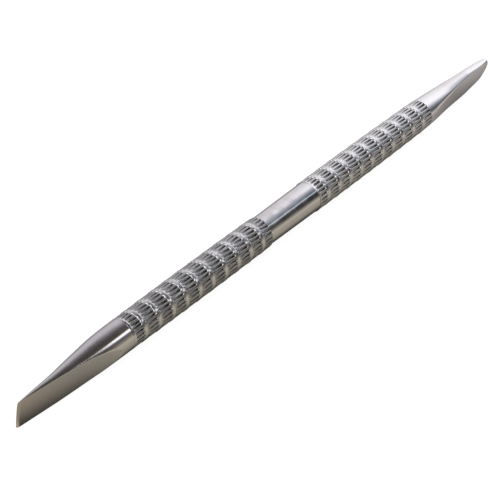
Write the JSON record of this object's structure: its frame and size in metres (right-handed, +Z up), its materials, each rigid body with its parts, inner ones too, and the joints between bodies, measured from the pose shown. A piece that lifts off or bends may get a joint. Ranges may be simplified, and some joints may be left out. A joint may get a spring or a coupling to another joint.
{
  "type": "cuticle pusher",
  "caption": "Slim double-ended metal nail tool: plain waist, knurled grips, a straight chisel blade and a slanted round blade.",
  "frame": {"origin": "on the long axis, at the middle of the plain waist", "axes": "+X along the tool to the rounded blade, both ground faces look towards -Y, +Z up with the tool lying down"},
  "size_m": [0.1296, 0.0058, 0.0058],
  "materials": {
    "polished_steel": "polished stainless steel with fine turning lines",
    "knurled_steel": "stainless steel, grooves left grainy, rings polished by handling",
    "straight_blade_steel": "polished stainless steel with a satin ground face",
    "rounded_blade_steel": "polished stainless steel with a satin ground face"
  },
  "bodies": {
    "root": {"core_rod": "polished_steel", "grip_sleeve_near": "knurled_steel", "grip_sleeve_far": "knurled_steel", "straight_blade": "straight_blade_steel", "rounded_blade": "rounded_blade_steel"}
  },
  "joints": []
}
